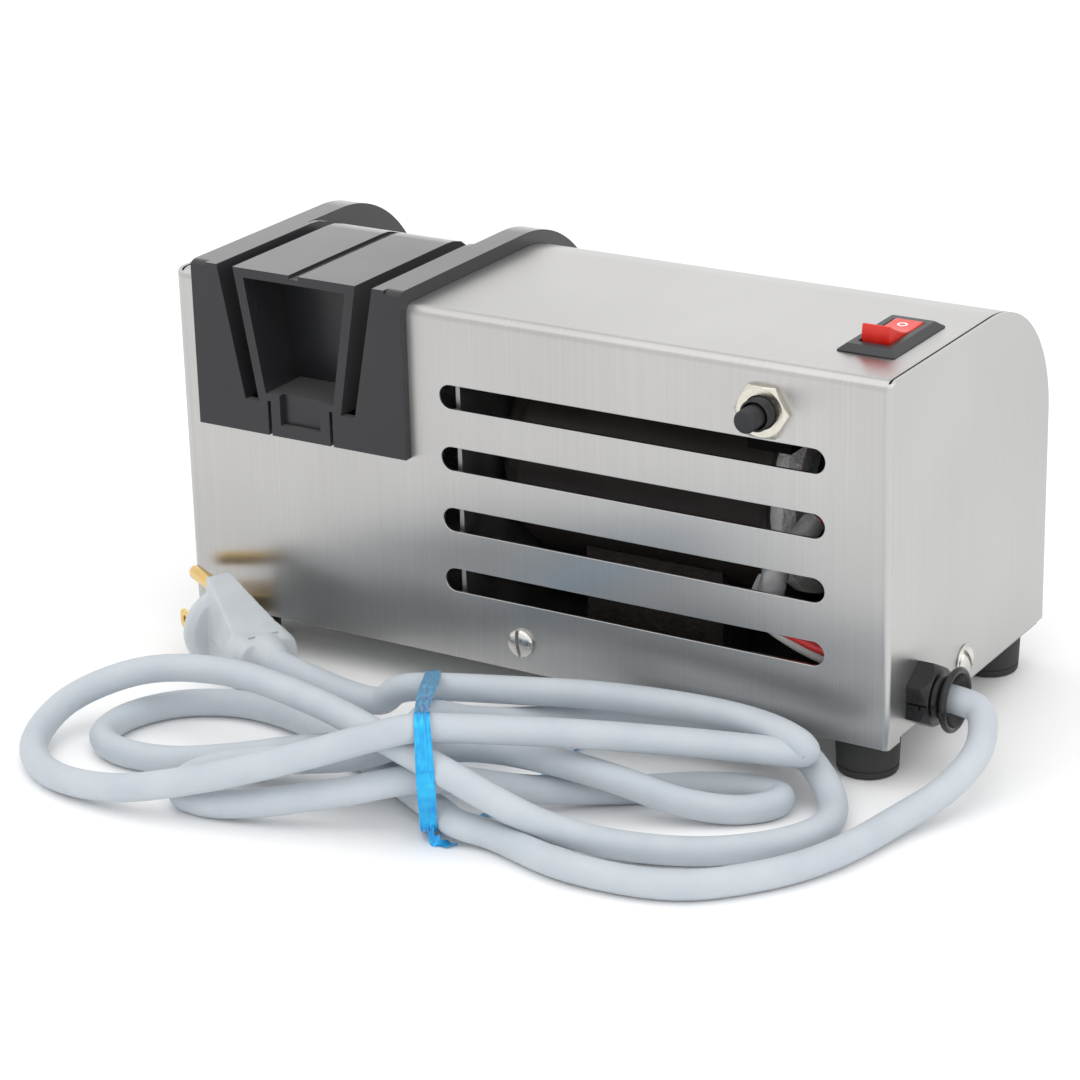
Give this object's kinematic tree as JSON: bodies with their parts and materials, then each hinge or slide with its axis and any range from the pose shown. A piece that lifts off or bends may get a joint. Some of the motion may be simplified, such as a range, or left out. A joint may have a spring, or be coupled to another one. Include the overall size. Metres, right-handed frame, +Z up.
{
  "type": "electric knife sharpener",
  "caption": "Countertop electric knife sharpener with a folded stainless case, slotted black guide saddle, red rocker switch, reset breaker and a tied grey mains lead.",
  "frame": {"origin": "middle of the footprint without the lead and plug, at the height of the feet's undersides", "axes": "+X towards the switch end with the strain relief, +Y from the front with the reset button to the rounded back, +Z up"},
  "size_m": [0.2812, 0.2377, 0.1331],
  "materials": {
    "stainless_steel": "brushed satin, grain upright on the front",
    "zinc_plate": "bright zinc, satin",
    "nickel_hardware": "nickel plate, semi bright",
    "foot_rubber": "matte",
    "black_moulding": "satin",
    "black_plastic": "satin",
    "red_plastic": "glossy",
    "shaft_steel": "ground steel",
    "grinding_stone": "fine grit stone, matte",
    "fan_plastic": "matte",
    "motor_black": "black enamel, satin",
    "cast_grey": "cast, matte",
    "brass": "bright",
    "cord_grey": "satin",
    "tie_blue": "foil, glossy",
    "wire_red": "satin",
    "wire_black": "satin",
    "wire_white": "satin",
    "wire_green": "satin"
  },
  "bodies": {
    "case": {"housing_cover": "stainless_steel", "base_plate": "zinc_plate", "cover_screw_front": "nickel_hardware", "cover_screw_back": "nickel_hardware", "cover_screw_left": "nickel_hardware", "cover_screw_right": "nickel_hardware", "foot_front_left": "foot_rubber", "foot_front_right": "foot_rubber", "foot_back_left": "foot_rubber", "foot_back_right": "foot_rubber", "foot_screw_front_left": "nickel_hardware", "foot_screw_front_right": "nickel_hardware", "foot_screw_back_left": "nickel_hardware", "foot_screw_back_right": "nickel_hardware", "motor_can": "motor_black", "motor_end_bell_drive": "cast_grey", "motor_end_bell_rear": "cast_grey", "bearing_drive": "shaft_steel", "bearing_rear": "shaft_steel", "motor_cradle": "zinc_plate", "cradle_screw_front": "nickel_hardware", "cradle_screw_back": "nickel_hardware", "bulkhead": "zinc_plate", "switch_body": "black_plastic", "switch_terminal_front": "brass", "switch_terminal_back": "brass", "breaker_body": "black_plastic", "breaker_nut": "nickel_hardware", "breaker_terminal_left": "brass", "breaker_terminal_right": "brass", "strain_relief": "black_plastic", "cord_lead": "cord_grey", "cord_hank": "cord_grey", "cord_tail": "cord_grey", "twist_tie": "tie_blue", "plug_body": "cord_grey", "plug_blade_near": "brass", "plug_blade_far": "brass", "ground_pin": "brass", "wire_red": "wire_red", "wire_black": "wire_black", "wire_white": "wire_white", "wire_green": "wire_green", "ground_screw": "nickel_hardware"},
    "rotor": {"drive_shaft": "shaft_steel", "wheel_left": "grinding_stone", "wheel_right": "grinding_stone", "wheel_spacer": "shaft_steel", "wheel_nut": "nickel_hardware", "rotor_core": "shaft_steel", "cooling_fan": "fan_plastic"},
    "saddle": {"guide_saddle": "black_moulding"},
    "rocker": {"switch_rocker": "red_plastic"},
    "button": {"reset_button": "black_plastic"}
  },
  "joints": [
    {"name": "rotor_spin", "type": "hinge", "parent": "case", "child": "rotor", "pos_m": [0, 0.0035, 0.07], "axis": [1, 0, 0], "continuous": true},
    {"name": "saddle_lift", "type": "slide", "parent": "case", "child": "saddle", "axis": [0, 0, 1], "range_m": [0, 0.06]},
    {"name": "rocker_tilt", "type": "hinge", "parent": "case", "child": "rocker", "pos_m": [0.1067, -0.01525, 0.126], "axis": [1, 0, 0], "range_deg": [0, 24]},
    {"name": "reset_press", "type": "slide", "parent": "case", "child": "button", "axis": [0, 1, 0], "range_m": [0, 0.0023], "stiffness_N_per_m": 400, "springref_m": -0.001}
  ]
}
